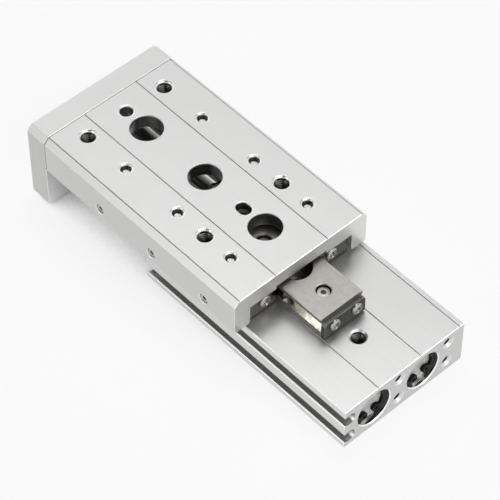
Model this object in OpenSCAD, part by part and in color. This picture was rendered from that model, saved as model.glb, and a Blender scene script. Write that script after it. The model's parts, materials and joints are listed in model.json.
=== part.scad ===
// Pneumatic slide table: twin cylinders in an extruded body push a table
// that runs on a crossed-roller guide. Millimetres, +Z up.
//
// Frame: X runs along the stroke (the end plate is at -X), Y = 0 is the centre
// plane of the guide, Z = 0 is the mounting face under the body, and X = 0 is
// the axis of its middle mounting hole. Pieces that travel are laid out with
// the table drawn in and are then moved out by `travel`.

/* [Cylinders] */
// Working stroke of the table
stroke = 40; // [20:5:60]
// Bore of each of the two cylinders
bore_d = 12; // [11:0.25:12.5]
// Distance between the two bore axes
bore_pitch = 18.6; // [18:0.2:20]
// Diameter of the piston rods
rod_d = 6; // [5:0.25:7]
// Length of each piston
piston_len = 12; // [11:0.5:16]
// Length of each head cap, with its nose
cap_len = 9; // [8.6:0.2:12]
// Length of each rod guide, with its nose
rod_guide_len = 12.2; // [11:0.2:18]
// Thickness of the rubber end-of-stroke bumpers
bumper_t = 1.2; // [0.8:0.1:2]
// Thickness of the retaining rings
ring_t = 1; // [0.8:0.1:1.2]
// Depth of each retaining ring below the end face
ring_inset = 1.4; // [1:0.1:3]

/* [Body] */
// Height of the body
body_h = 15.7; // [15.2:0.1:18]
// Distance from the guide's centre plane to the side with the switch grooves
groove_side = 20.5; // [20.2:0.1:23]
// Pitch of the body's mounting holes
mount_pitch = 25; // [24:0.5:26]
// First mounting hole, measured from the front end of the body
mount_inset = 14.75; // [14.25:0.25:16]
// Width of the mouth of a switch groove
switch_mouth = 3.4; // [3:0.1:3.8]
// Diameter of the round chamber of a switch groove
switch_d = 4.4; // [4:0.1:4.8]
// Height of the lower switch groove above the base
switch_low = 3.7; // [3.4:0.1:4]
// Distance between the two switch grooves
switch_pitch = 7.4; // [7:0.1:7.8]
// Distance of the fine line on the body from the guide's centre plane
body_line_y = 8.05; // [7.6:0.05:9]
// Width of the strip along the top edge of the port side
edge_strip = 1.75; // [1.2:0.05:2.4]
// Height of the lower end-face holes above the base
end_hole_low = 4.05; // [3.8:0.05:4.4]
// Vertical pitch of the end-face holes
end_hole_pitch = 8.15; // [7.6:0.05:8.4]
// Distance of the outer end-face holes from the guide's centre plane
end_hole_y = 18.7; // [18.4:0.1:20]

/* [Guide] */
// Diameter of the rollers
roller_d = 3; // [2.6:0.1:3.2]
// Pitch of the rollers
roller_pitch = 5; // [4.5:0.1:5.2]
// Number of rollers on each side
roller_n = 7; // [5:1:7]
// Width of the guide block
block_w = 15.6; // [15:0.2:17]
// Height of the guide block above the body
block_h = 7.6; // [7:0.1:8]
// Length of the guide block
block_len = 55.5; // [54:0.5:58]
// Distance from the body's rear end to the guide block's rear end
block_inset = 23; // [22.5:0.5:24]
// Distance of the first block screw from the block's rear end
block_screw_inset = 7.25; // [6.5:0.25:8]
// Distance to the second block screw
block_screw_pitch = 24; // [23:0.5:26]
// Diameter of the access holes in the guide block
block_access_d = 9.5; // [8.5:0.25:9.75]
// Gap between the guide block and each rail
rail_gap = 0.5; // [0.4:0.05:0.7]
// Height of the rails
rail_h = 7.3; // [6.8:0.1:8]
// Gap between the rails and the body
rail_clear = 0.55; // [0.4:0.05:1]
// Distance of the rail ends from the table's ends
rail_inset = 1.5; // [1.3:0.1:2]
// Thickness of the roller stop plates
stop_t = 1.4; // [1:0.1:1.6]

/* [Table] */
// Width of the table and of the whole unit
table_w = 49.5; // [48.5:0.5:54]
// Length of the table without the end plate
table_len = 81; // [80:0.5:90]
// Thickness of the table over the rails
web_t = 5.95; // [5:0.05:8]
// Thickness of the table's side walls
wall_t = 5.6; // [5:0.1:6.2]
// Gap between the table's side walls and the body
wall_clear = 1.2; // [0.8:0.1:2]
// Gap between the table and the top of the guide block
block_clear = 1.35; // [0.8:0.05:1.6]
// Width of the slope on the table's long edges
edge_w = 1.8; // [1:0.1:2.5]
// Depth of the slope on the table's long edges
edge_d = 1.95; // [1:0.05:2.5]
// Diameter of the access holes in the table
access_d = 9.9; // [9:0.1:11]
// Distance of the fine lines from the table's centre
table_line_y = 9.7; // [9:0.1:10.5]
// How far the tapped rows lie inwards of the middle of the rails' solid part
row_shift = 0.275; // [0:0.025:0.5]
// Pitch of the four tapped holes for the load
work_pitch = 50; // [48:1:52]
// First tapped hole for the load, measured from the table's front end
work_inset = 7.35; // [7:0.05:9]
// Pitch of the rail screws
rail_screw_pitch = 22; // [20:0.5:23]
// How far the middle rail screw lies behind the table's middle
rail_screw_shift = 5.45; // [4:0.05:6]
// Diameter of the locating hole and slot
dowel_d = 4; // [3:0.1:4.4]

/* [End plate] */
// Thickness of the end plate
plate_t = 7.5; // [7:0.25:10]
// Height of the end plate's lower edge above the base
plate_clear = 2.1; // [1:0.1:2.6]
// Gap between the end plate and the body with the table drawn in
closed_gap = 1.5; // [1:0.1:3]
// Pitch across of the tapped holes in the front of the end plate
front_pitch_y = 25; // [24:0.5:26]
// Distance of the upper ones from the top
front_inset_z = 5.2; // [5:0.1:5.5]
// Pitch upwards of the tapped holes in the front of the end plate
front_pitch_z = 10; // [9:0.25:10.5]

/* [Position] */
// How far the table is drawn out, as modelled
travel = 37.5; // [0:0.5:40]

/* [Hidden] */
$fn = 48;
eps = 0.01;

LEFT = -1;
RIGHT = 1;
SIDES = [LEFT, RIGHT];

// Clearances
stop_clear = 0.6;        // stop plate to the top of the body
stop_drop = 1.4;         // stop plate to the level of the block's top
end_slack = 0.3;         // piston to bumper at each end of the stroke
slip = 0.05;             // radial, for what is screwed, pressed or slid into a hole
roller_slip = 0.02;      // roller to track
piston_slip = 0.1;       // radial, piston to bore

// Screw sizes: [thread, head diameter, head height, hexagon across flats]
M2P = [2, 3.8, 1.1];
M2 = [2, 3.8, 2, 1.5];
M25 = [2.5, 4.4, 2.5, 2];
M25P = [2.5, 4.2, 1.1];
M3 = [3, 5.5, 3, 2.5];
M4 = [4, 7, 3, 3];                           // low head
// Thread core holes left open for the user: [core, mouth]
TAP3 = [2.5, 3.7];
TAP5 = [4.2, 5.3];
head_room = 0.25;        // radial, screw head in its counterbore
head_sunk = 0.3;         // how far a screw head lies below the face
screw_end = 1.5;         // rail screw's end below the table's top
screw_spare = 1;         // thread left below a screw's end
block_tap = 5;           // depths of the threaded holes for the unit's own screws
stop_tap = 4;
rail_tap = 5;
plate_tap = 9;
rod_tap = 10;
end_tap = 6;             // threaded holes in the rear end: depth and countersink
end_sink_d = 4;
port_depth = 6;          // depth of the threaded air ports
locate_d = 3;            // locating hole and slot in the mounting face
locate_depth = 3;
slot_play = 0.5;         // half of what a locating slot is longer than wide
edge_break = 0.3;        // small chamfer on the long edges of the profiles
line_w = 0.28;           // fine line cut in a profile: width and depth
line_d = 0.4;

// Along X
ring_depth = ring_inset + ring_t;
free_len = piston_len + stroke + 2 * end_slack + 2 * bumper_t;
body_len = 2 * ring_depth + cap_len + rod_guide_len + free_len;
x_front = -mount_inset - mount_pitch;
x_rear = x_front + body_len;
x_plate = x_front - closed_gap;              // inner face of the end plate
x_table_rear = x_plate + table_len;
x_block_rear = x_rear - block_inset;
x_block_front = x_block_rear - block_len;
x_cap = x_rear - ring_depth;                 // outer face of the head caps
x_cap_nose = x_cap - cap_len;
x_guide = x_front + ring_depth;              // outer face of the rod guides
x_guide_nose = x_guide + rod_guide_len;
x_piston = x_cap_nose - bumper_t - end_slack; // rear face of the pistons
mount_x = [for (i = [-1:1]) i * mount_pitch];
work_x = [for (i = [0:1]) x_plate + work_inset + i * work_pitch];
x_rail_screw = x_plate + table_len / 2 + rail_screw_shift;
rail_screw_x = [for (i = [-1:1]) x_rail_screw + i * rail_screw_pitch];
rail_len = table_len - 2 * rail_inset;

// Across, along Y
half_w = table_w / 2;
wall_y = half_w - wall_t;
bore_y = bore_pitch / 2;
rail_y = block_w / 2 + rail_gap;
track_y = block_w / 2 + rail_gap / 2;
recess_y = table_line_y - edge_break;

// Upwards, along Z
bore_z = body_h / 2;
rail_z = body_h + rail_clear;
track_z = rail_z + rail_h / 2;
web_z = rail_z + rail_h;
top_z = web_z + web_t;
block_top = body_h + block_h;
recess_z = block_top + block_clear;
wall_z = body_h + wall_clear;

// Roller tracks
track_side = roller_d + 2 * roller_slip;
track_half = track_side / sqrt(2);           // half the diagonal of the square track
relief_w = 0.5;                              // relief slot at the bottom of each track
relief_d = 0.3;
roller_len = roller_d - 0.2;
pocket_gap = 0.08;                           // radial, roller in its spacer's pocket
spacer_gap = 0.32;                           // spacer to track
row_y = (track_y + track_half + wall_y) / 2 - row_shift;
train_len = (roller_n - 1) * roller_pitch;   // between the outer roller centres
x_train = (x_block_rear + x_block_front) / 2 + stroke / 4 - train_len / 2;

// Cap and rod guide: a full disc with a seal, then a thinner nose
disc_len = 5.4;
guide_disc_len = 6.6;
ring_turn = 9;                               // of one ring, as rings seldom sit level
ring_bite = 0.25;                            // depth of the retaining rings' grooves
nose_d = bore_d - 4;
port_inset = 1.8;                            // passage, from the disc into the nose
port_x = [x_guide + guide_disc_len + port_inset, x_cap - disc_len - port_inset];
passage_d = 2;
o_ring_t = 1.5;
o_ring_room = 0.1;                           // beside an O-ring or a seal in its groove
o_ring_land = 1;                             // from the groove to the disc's inner face
seal_w = 2.2;
seal_t = 1.5;
magnet_w = 3.5;
magnet_t = 1.8;
magnet_low = 0.1;                            // how far it lies below the piston's wall
magnet_inset = 1.4;                          // from the piston's front face
seal_inset = 1.5;                            // from the magnet's groove
spigot_d = rod_d - 2;
nut_t = 2.2;
nut_af = 7;
nut_r = nut_af / sqrt(3);
x_seal = magnet_inset + magnet_w + seal_inset;
rod_seat = 2;                                // depth of the rods' seats in the plate

// ---- helpers -------------------------------------------------------------

// Stands a flat drawing (Y across, Z up) on a plane x0 and extrudes it along +X
module along_x(x0, length) {
    translate([x0, 0, 0]) rotate([90, 0, 90]) linear_extrude(length) children();
}

// Round bar along +X
module bar_x(x0, length, d, y = 0, z = 0) {
    translate([x0, y, z]) rotate([0, 90, 0]) cylinder(h = length, d = d);
}

// Small V cut across the whole width, such as on an end's upper edge
module edge_cut(x, z, c = 0.25) {
    translate([x, 0, z]) rotate([90, 0, 0])
        linear_extrude(2 * table_w, center = true) rotate(45) square(c * sqrt(2), center = true);
}

// Moves pieces that ride on the table
module on_table() {
    translate([-travel, 0, 0]) children();
}

// Moves pieces that roll between the body and the table
module on_rollers() {
    translate([-travel / 2, 0, 0]) children();
}

// Hole straight down from a top face at z, with a countersunk mouth
module tapped_down(tap, depth, z) {
    sink = (tap[1] - tap[0]) / 2;
    translate([0, 0, z - depth]) cylinder(h = depth + eps, d = tap[0]);
    translate([0, 0, z - sink]) cylinder(h = sink + eps, d1 = tap[0], d2 = tap[1] + 2 * eps);
}

// Locating slot along X, upwards from the origin
module slot(width, depth) {
    for (dx = [-slot_play, slot_play]) translate([dx, 0, 0]) cylinder(h = depth, d = width);
    translate([-slot_play, -width / 2, 0]) cube([2 * slot_play, width, depth]);
}

// Socket head cap screw along -Z, with the seat of its head at the origin
module cap_screw(size, length) {
    difference() {
        union() {
            translate([0, 0, -length]) cylinder(h = length + eps, d = size[0]);
            cylinder(h = size[2] - edge_break, d = size[1]);
            translate([0, 0, size[2] - edge_break])
                cylinder(h = edge_break, d1 = size[1], d2 = size[1] - 2 * edge_break);
        }
        translate([0, 0, size[2] / 2]) cylinder(h = size[2], d = size[3] / cos(30), $fn = 6);
    }
}

// Pan head screw with a cross recess along -Z, seat of its head at the origin
module pan_screw(size, length) {
    slot_w = size[1] * 0.16;
    slot_l = size[1] * 0.62;
    top_d = size[1] * 0.72;
    floor_z = size[2] * 0.4;
    difference() {
        union() {
            translate([0, 0, -length]) cylinder(h = length + eps, d = size[0]);
            cylinder(h = size[2] / 2, d = size[1]);
            translate([0, 0, size[2] / 2])
                cylinder(h = size[2] / 2, d1 = size[1], d2 = top_d);
        }
        for (turn = [0, 90])
            rotate([0, 0, turn])
                translate([-slot_l / 2, -slot_w / 2, floor_z])
                    cube([slot_l, slot_w, size[2]]);
    }
}

// Ring of the given section turned about the X axis at a bore
module turned_x(x0, side, z = bore_z) {
    translate([x0, side * bore_y, z]) rotate([0, 90, 0]) rotate_extrude() children();
}

// ---- body ----------------------------------------------------------------

// Narrow slot in a flat face at z, with slightly open lips
module line_cut(y, z) {
    translate([y - line_w / 2, z - line_d]) square([line_w, line_d + eps]);
    translate([y, z]) rotate(45) square(line_w, center = true);
}

module switch_groove(z) {
    centre = -groove_side + switch_d / 2 - edge_break;
    translate([centre, z]) circle(d = switch_d);
    translate([-groove_side - eps, z - switch_mouth / 2])
        square([centre + groove_side, switch_mouth]);
    // sloped lips
    polygon([
        [-groove_side - eps, z - switch_mouth / 2 - edge_break],
        [-groove_side + edge_break, z - switch_mouth / 2],
        [-groove_side + edge_break, z + switch_mouth / 2],
        [-groove_side - eps, z + switch_mouth / 2 + edge_break]
    ]);
}

module body_profile() {
    e = edge_break;
    difference() {
        polygon([
            [-groove_side + e, 0], [half_w - e, 0], [half_w, e], [half_w, body_h - e],
            [half_w - e, body_h], [-groove_side + e, body_h],
            [-groove_side, body_h - e], [-groove_side, e]
        ]);
        for (k = [0, 1]) switch_groove(switch_low + k * switch_pitch);
        for (y = [-body_line_y, body_line_y, half_w - edge_strip]) line_cut(y, body_h);
        for (side = SIDES) translate([side * bore_y, bore_z]) circle(d = bore_d);
    }
}

module ring_groove(x0, side) {
    bar_x(x0 - slip, ring_t + 2 * slip, bore_d + 2 * ring_bite, side * bore_y, bore_z);
}

module end_hole(y, k, depth) {
    z = end_hole_low + k * end_hole_pitch;
    translate([x_rear, y, z]) rotate([0, 90, 0])
        tapped_down([TAP3[0], end_sink_d], depth, 0);
}

module air_port(x) {
    translate([x, half_w, bore_z]) rotate([-90, 0, 0]) tapped_down(TAP5, port_depth, 0);
    translate([x, -bore_y, bore_z]) rotate([-90, 0, 0])
        cylinder(h = bore_y + half_w - port_depth + eps, d = passage_d);
}

module body_housing() {
    locate_x = [mount_x[0] + mount_pitch / 2, mount_x[1] + mount_pitch / 2];
    color("silver") difference() {
        along_x(x_front, body_len) body_profile();
        edge_cut(x_rear, body_h);
        edge_cut(x_front, body_h);
        for (side = SIDES) {
            ring_groove(x_rear - ring_depth, side);
            ring_groove(x_front + ring_inset, side);
            translate([x_rear, side * bore_y, bore_z]) rotate([0, 90, 0])
                tapped_down([bore_d, bore_d + 2 * edge_break], ring_inset, 0);
        }
        for (x = mount_x) {
            translate([x, 0, 0]) tapped_down(TAP5, body_h + eps, body_h);
        }
        for (x = block_screw_x)
            translate([x, 0, body_h - block_tap])
                cylinder(h = block_tap + eps, d = M2[0] + 2 * slip);
        for (k = [0, 1]) {
            end_hole(0, k, end_tap * (1 + k));
            end_hole(end_hole_y, k, end_tap);
        }
        for (x = port_x) air_port(x);
        // locating hole and slot in the mounting face
        translate([locate_x[0], 0, -eps]) cylinder(h = locate_depth + eps, d = locate_d);
        translate([locate_x[1], 0, -eps]) slot(locate_d, locate_depth + eps);
    }
}

// ---- guide ---------------------------------------------------------------

block_front_inset = 3.75;                     // of the hidden third screw
block_screw_x = [
    x_block_rear - block_screw_inset,
    x_block_rear - block_screw_inset - block_screw_pitch,
    x_block_front + block_front_inset
];
head_sink = M2[2] + screw_spare;              // depth of the block's counterbores
stop_screw_y = 4.1;

// Square roller track standing on its edge, with a relief slot at each corner
module track(side) {
    translate([side * track_y, track_z]) {
        rotate(45) square(track_side, center = true);
        square([2 * (track_half + relief_d), relief_w], center = true);
    }
}

module guide_block() {
    e = edge_break;
    color([0.68, 0.66, 0.63]) difference() {
        along_x(x_block_front, block_len) difference() {
            polygon([
                [-block_w / 2, body_h], [block_w / 2, body_h], [block_w / 2, block_top - e],
                [block_w / 2 - e, block_top], [-block_w / 2 + e, block_top],
                [-block_w / 2, block_top - e]
            ]);
            for (side = SIDES) track(side);
        }
        for (x = [mount_x[0], mount_x[1]])
            translate([x, 0, body_h - eps]) cylinder(h = block_h + 2 * eps, d = block_access_d);
        for (x = block_screw_x) {
            translate([x, 0, body_h - eps]) cylinder(h = block_h, d = M2[0] + 2 * slip);
            translate([x, 0, block_top])
                tapped_down([M2[1] + 2 * head_room, M2[1] + 4 * head_room], head_sink, 0);
        }
        for (side = SIDES) {
            for (x = [x_block_rear, x_block_front])
                bar_x(x - stop_tap, 2 * stop_tap, M2P[0] + 2 * slip, side * stop_screw_y, track_z);
        }
    }
}

module guide_block_screws() {
    color("dimgray") for (x = block_screw_x)
        translate([x, 0, block_top - head_sink])
            cap_screw(M2, block_h - head_sink + block_tap - screw_spare);
}

// Plate that keeps the rollers in their tracks at one end of the block
module roller_stop(x0) {
    top = block_top - stop_drop;
    low = body_h + stop_clear;
    side = block_w / 2 - 0.1;
    corner = 0.8;
    color([0.55, 0.55, 0.54]) difference() {
        along_x(x0, stop_t) polygon([
            [-side, low], [side, low], [side, top - corner],
            [side - corner, top], [-side + corner, top], [-side, top - corner]
        ]);
        for (s = SIDES)
            bar_x(x0 - eps, stop_t + 2 * eps, M2P[0] + 2 * slip, s * stop_screw_y, track_z);
    }
}

module rear_roller_stop() {
    roller_stop(x_block_rear);
}

module front_roller_stop() {
    roller_stop(x_block_front - stop_t);
}

module roller_stop_screws() {
    color("silver") for (s = SIDES) {
        translate([x_block_rear + stop_t, s * stop_screw_y, track_z])
            rotate([0, 90, 0]) pan_screw(M2P, stop_t + stop_tap - screw_spare);
        translate([x_block_front - stop_t, s * stop_screw_y, track_z])
            rotate([0, -90, 0]) pan_screw(M2P, stop_t + stop_tap - screw_spare);
    }
}

rail_end_shift = 1.2;
rail_end_y = (rail_y + wall_y) / 2 - rail_end_shift; // end screws sit beside the track

module rail(side) {
    e = edge_break;
    x0 = x_plate + rail_inset;
    color([0.6, 0.59, 0.57]) difference() {
        along_x(x0, rail_len) difference() {
            polygon([
                [side * rail_y, rail_z + e], [side * (rail_y + e), rail_z],
                [side * (wall_y - e), rail_z], [side * wall_y, rail_z + e],
                [side * wall_y, web_z - e], [side * (wall_y - e), web_z],
                [side * (rail_y + e), web_z], [side * rail_y, web_z - e]
            ]);
            track(side);
        }
        for (x = rail_screw_x) translate([x, side * row_y, rail_z - eps]) {
            cylinder(h = rail_h + 2 * eps, d = M3[0] + 2 * slip);
            cylinder(h = M3[2] + head_sunk + eps, d = M3[1] + 2 * head_room);
        }
        for (x = [x0, x0 + rail_len])
            bar_x(x - rail_tap, 2 * rail_tap, M25P[0] + 2 * slip, side * rail_end_y, track_z);
    }
}

module left_rail() {
    on_table() rail(LEFT);
}

module right_rail() {
    on_table() rail(RIGHT);
}

module rail_screws() {
    color("dimgray") on_table() for (side = SIDES, x = rail_screw_x)
        translate([x, side * row_y, rail_z + M3[2] + head_sunk])
            rotate([180, 0, 0]) cap_screw(M3, rail_h - M3[2] - head_sunk + web_t - screw_end);
}

module preload_screws() {
    length = wall_t - 2 * head_sunk;
    socket = M3[0] / 2;
    color("dimgray") on_table() for (x = rail_screw_x)
        translate([x, -wall_y - length, track_z]) rotate([-90, 0, 0]) difference() {
            cylinder(h = length, d = M3[0]);
            translate([0, 0, -eps]) cylinder(h = socket, d = socket / cos(30), $fn = 6);
        }
}

module rail_end_screws() {
    color("silver") on_table() for (side = SIDES) {
        translate([x_plate + rail_inset + rail_len, side * rail_end_y, track_z])
            rotate([0, 90, 0]) pan_screw(M25P, rail_tap - screw_spare);
        translate([x_plate + rail_inset, side * rail_end_y, track_z])
            rotate([0, -90, 0]) pan_screw(M25P, rail_tap - screw_spare);
    }
}

// Rollers stand crosswise in turn
module roller(i, d, length) {
    translate([i * roller_pitch, 0, 0]) rotate([i % 2 == 0 ? 45 : -45, 0, 0])
        cylinder(h = length, d = d, center = true);
}

module rollers(side) {
    color("gainsboro") on_rollers() translate([x_train, side * track_y, track_z])
        for (i = [0:roller_n - 1]) roller(i, roller_d, roller_len);
}

// Spacers fill the track between the rollers and keep them apart
module spacers(side) {
    spacer_side = track_side - 2 * spacer_gap;
    color("burlywood") on_rollers() translate([x_train, side * track_y, track_z])
        difference() {
            rotate([45, 0, 0]) translate([0, -spacer_side / 2, -spacer_side / 2])
                cube([train_len, spacer_side, spacer_side]);
            for (i = [0:roller_n - 1]) roller(i, roller_d + 2 * pocket_gap, 2 * roller_d);
        }
}

module left_rollers() {
    rollers(LEFT);
}

module right_rollers() {
    rollers(RIGHT);
}

module left_roller_spacers() {
    spacers(LEFT);
}

module right_roller_spacers() {
    spacers(RIGHT);
}

// ---- cylinders -----------------------------------------------------------

plug_d = bore_d - 2 * slip;                   // caps and rod guides in the bore
o_ring_r = bore_d / 2 - slip - o_ring_t / 2;  // to the middle of the ring's section
o_groove_r = o_ring_r - o_ring_t / 2 - slip;
o_groove_w = o_ring_t + 2 * o_ring_room;

// Head cap: a disc that the retaining ring holds, an O-ring and a nose
module head_cap(side) {
    r = plug_d / 2;
    color("gainsboro") turned_x(x_cap, side) difference() {
        polygon([
            [0, -cap_len], [nose_d / 2, -cap_len], [nose_d / 2, -disc_len],
            [r, -disc_len], [r, -edge_break], [r - edge_break, 0],
            [r - seal_w, 0], [r - seal_w - edge_break, -edge_break], [0, -edge_break]
        ]);
        translate([o_groove_r, o_ring_land - disc_len]) square([r, o_groove_w]);
    }
}

module left_head_cap() {
    head_cap(LEFT);
}

module right_head_cap() {
    head_cap(RIGHT);
}

// O-ring in the groove that starts at x0
module o_ring(x0, side) {
    turned_x(x0 + o_groove_w / 2, side) translate([o_ring_r, 0]) circle(d = o_ring_t);
}

module head_cap_o_rings() {
    color("black") for (side = SIDES) o_ring(x_cap - disc_len + o_ring_land, side);
}

// Internal retaining ring with two lugs; its gap points down, or is turned from there
module retaining_ring(x0, side, lug_r = 1.4, turn = 0) {
    r = bore_d / 2 + ring_bite - slip;
    rim = 1.5;
    lug_at = r - lug_r - 0.55;
    lug_turn = 34;
    hole_r = 0.55;
    color([0.2, 0.2, 0.2]) translate([0, side * bore_y, bore_z]) along_x(x0, ring_t)
        rotate(turn) difference() {
            union() {
                difference() {
                    circle(r = r);
                    translate([0, -ring_bite]) circle(r = r - rim);
                    polygon([
                        [0, 0], [-sin(lug_turn) * 2 * r, -cos(lug_turn) * 2 * r],
                        [sin(lug_turn) * 2 * r, -cos(lug_turn) * 2 * r]
                    ]);
                }
                for (s = SIDES) rotate(s * lug_turn) translate([0, -lug_at]) circle(lug_r);
            }
            for (s = SIDES) rotate(s * lug_turn) translate([0, -lug_at]) circle(hole_r);
        }
}

module head_retaining_rings() {
    retaining_ring(x_rear - ring_depth, LEFT);
    retaining_ring(x_rear - ring_depth, RIGHT, turn = ring_turn);
}

module rod_retaining_rings() {
    for (side = SIDES) retaining_ring(x_front + ring_inset, side, 1.05);
}

module head_bumpers() {
    color("goldenrod") for (side = SIDES)
        bar_x(x_cap_nose - bumper_t, bumper_t, nose_d, side * bore_y, bore_z);
}

// Rod guide: carries the rod, its seal and an O-ring
rod_hole_d = rod_d + 2 * slip;
module rod_guide(side) {
    r = plug_d / 2;
    color("tan") turned_x(x_guide, side) difference() {
        polygon([
            [rod_hole_d / 2, 0], [r - edge_break, 0], [r, edge_break], [r, guide_disc_len],
            [nose_d / 2, guide_disc_len], [nose_d / 2, rod_guide_len],
            [rod_hole_d / 2, rod_guide_len]
        ]);
        translate([o_groove_r, guide_disc_len - o_ring_land - o_groove_w])
            square([r, o_groove_w]);
        translate([rod_hole_d / 2 - eps, -eps])
            square([seal_t + eps, seal_w + eps]);
    }
}

module left_rod_guide() {
    rod_guide(LEFT);
}

module right_rod_guide() {
    rod_guide(RIGHT);
}

module rod_guide_o_rings() {
    color("black") for (side = SIDES)
        o_ring(x_guide + guide_disc_len - o_ring_land - o_groove_w, side);
}

module rod_seals() {
    color("black") for (side = SIDES) turned_x(x_guide, side) difference() {
        translate([rod_hole_d / 2, o_ring_room])
            square([seal_t - slip, seal_w - 2 * o_ring_room]);
        // groove behind the lip
        translate([rod_hole_d / 2 + seal_t / 3, 0]) square([seal_t / 3, seal_w / 2]);
    }
}

module rod_bumpers() {
    color("goldenrod") for (side = SIDES) difference() {
        bar_x(x_guide_nose, bumper_t, nose_d, side * bore_y, bore_z);
        bar_x(x_guide_nose - eps, bumper_t + 2 * eps, rod_hole_d + 0.5, side * bore_y, bore_z);
    }
}

// Piston rod from its spigot in the piston to its seat in the end plate
module piston_rod(side) {
    x_shoulder = x_piston - piston_len;
    x_end = x_plate - rod_seat;
    color("lightgray") on_table() difference() {
        union() {
            bar_x(x_end, x_shoulder - x_end, rod_d, side * bore_y, bore_z);
            bar_x(x_shoulder - eps, piston_len - head_sunk + eps, spigot_d, side * bore_y, bore_z);
        }
        bar_x(x_end - eps, rod_tap + eps, M4[0] + 2 * slip, side * bore_y, bore_z);
    }
}

module left_piston_rod() {
    piston_rod(LEFT);
}

module right_piston_rod() {
    piston_rod(RIGHT);
}

module piston(side) {
    r = bore_d / 2 - piston_slip;
    in_r = spigot_d / 2 + slip;
    color("silver") on_table() turned_x(x_piston - piston_len, side) difference() {
        polygon([
            [in_r, 0], [r - edge_break, 0], [r, edge_break], [r, piston_len - edge_break],
            [r - edge_break, piston_len], [nut_r + slip, piston_len],
            [nut_r + slip, piston_len - nut_t - head_sunk],
            [in_r, piston_len - nut_t - head_sunk]
        ]);
        translate([r - magnet_t - slip, magnet_inset]) square([r, magnet_w + 2 * slip]);
        translate([r - seal_t - slip, x_seal]) square([r, seal_w]);
    }
}

module left_piston() {
    piston(LEFT);
}

module right_piston() {
    piston(RIGHT);
}

module piston_nuts() {
    color("dimgray") on_table() for (side = SIDES) difference() {
        translate([x_piston - nut_t - head_sunk, side * bore_y, bore_z]) rotate([0, 90, 0])
            cylinder(h = nut_t, r = nut_r, $fn = 6);
        bar_x(x_piston - 2 * nut_t, 2 * nut_t, spigot_d + 2 * slip, side * bore_y, bore_z);
    }
}

module piston_seals() {
    r = bore_d / 2 - slip;
    lip = edge_break;
    width = seal_w - 2 * o_ring_room;
    color("black") on_table() for (side = SIDES)
        turned_x(x_piston - piston_len + x_seal + o_ring_room, side)
            polygon([
                [r - seal_t, 0], [r - lip, 0], [r, lip], [r, width - lip],
                [r - lip, width], [r - seal_t, width]
            ]);
}

module piston_magnets() {
    r = bore_d / 2 - piston_slip - magnet_t;
    color([0.25, 0.22, 0.2]) on_table() for (side = SIDES)
        turned_x(x_piston - piston_len + magnet_inset + slip, side)
            translate([r, 0]) square([magnet_t - magnet_low, magnet_w]);
}

// ---- table ---------------------------------------------------------------

// Outer outline shared by the table and the end plate, from its lower edge up
module slide_outline(z0) {
    polygon([
        [-half_w, z0], [half_w, z0], [half_w, top_z - edge_d], [half_w - edge_w, top_z],
        [-half_w + edge_w, top_z], [-half_w, top_z - edge_d]
    ]);
}

module table_profile() {
    c = 0.6; // lead-in at the walls' lower edges
    difference() {
        slide_outline(wall_z);
        translate([-wall_y, 0]) square([2 * wall_y, web_z]);
        translate([-recess_y, 0]) square([2 * recess_y, recess_z]);
        polygon([
            [-wall_y - c, wall_z - eps], [wall_y + c, wall_z - eps],
            [wall_y, wall_z + c], [-wall_y, wall_z + c]
        ]);
        for (s = SIDES) {
            line_cut(s * table_line_y, top_z);
            line_cut(s * (half_w - edge_w), top_z);
        }
    }
}

plate_bolt_y = half_w - wall_t / 2 - 0.4;
plate_bolt_z = [wall_z + 2.5, top_z - 4];
plate_hole_slip = 0.2;                        // radial, for the screws through the plate

// Places the children at the four bolts that hold the end plate
module at_plate_bolts() {
    for (side = SIDES, z = plate_bolt_z) translate([x_plate, side * plate_bolt_y, z]) children();
}

module slide_table() {
    color("silver") on_table() difference() {
        along_x(x_plate, table_len) table_profile();
        edge_cut(x_plate, top_z, 0.2);
        edge_cut(x_table_rear, top_z);
        for (x = mount_x)
            translate([x, 0, 0]) tapped_down([access_d, access_d + edge_break], web_t, top_z);
        for (x = work_x, s = SIDES)
            translate([x, s * row_y, 0]) tapped_down(TAP5, web_t + 1, top_z);
        for (x = rail_screw_x, s = SIDES)
            translate([x, s * row_y, 0])
                tapped_down([M3[0] + 2 * slip, M3[0] + 0.8], web_t + 1, top_z);
        translate([work_x[0], 0, 0]) tapped_down([dowel_d, dowel_d + 0.4], web_t, top_z);
        translate([work_x[1], 0, recess_z - eps]) slot(dowel_d, web_t);
        for (x = rail_screw_x)
            translate([x, -half_w, track_z]) rotate([90, 0, 0])
                tapped_down([M3[0] + 2 * slip, M3[0] + 0.7], wall_t + 1, 0);
        at_plate_bolts() bar_x(-eps, plate_tap, M25[0] + 2 * slip);
    }
}

module end_plate() {
    head_depth = M4[2] + head_sunk;
    front_z = [top_z - front_inset_z - front_pitch_z, top_z - front_inset_z];
    color("silver") on_table() difference() {
        along_x(x_plate - plate_t, plate_t) slide_outline(plate_clear);
        edge_cut(x_plate, top_z, 0.2);
        edge_cut(x_plate - plate_t, top_z);
        at_plate_bolts() {
            bar_x(-plate_t - eps, plate_t + 2 * eps, M25[0] + 2 * plate_hole_slip);
            bar_x(-plate_t - eps, M25[2] + head_sunk + eps, M25[1] + 2 * head_room);
        }
        for (side = SIDES) {
            bar_x(x_plate - rod_seat - slip, plate_t, rod_d + 2 * slip, side * bore_y, bore_z);
            bar_x(x_plate - plate_t - eps, plate_t, M4[0] + 2 * plate_hole_slip,
                side * bore_y, bore_z);
            bar_x(x_plate - plate_t - eps, head_depth + eps, M4[1] + 2 * head_room,
                side * bore_y, bore_z);
        }
        for (side = SIDES, z = front_z)
            translate([x_plate - plate_t, side * front_pitch_y / 2, z])
                rotate([0, -90, 0]) tapped_down(TAP5, plate_t + 1, 0);
    }
}

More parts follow.
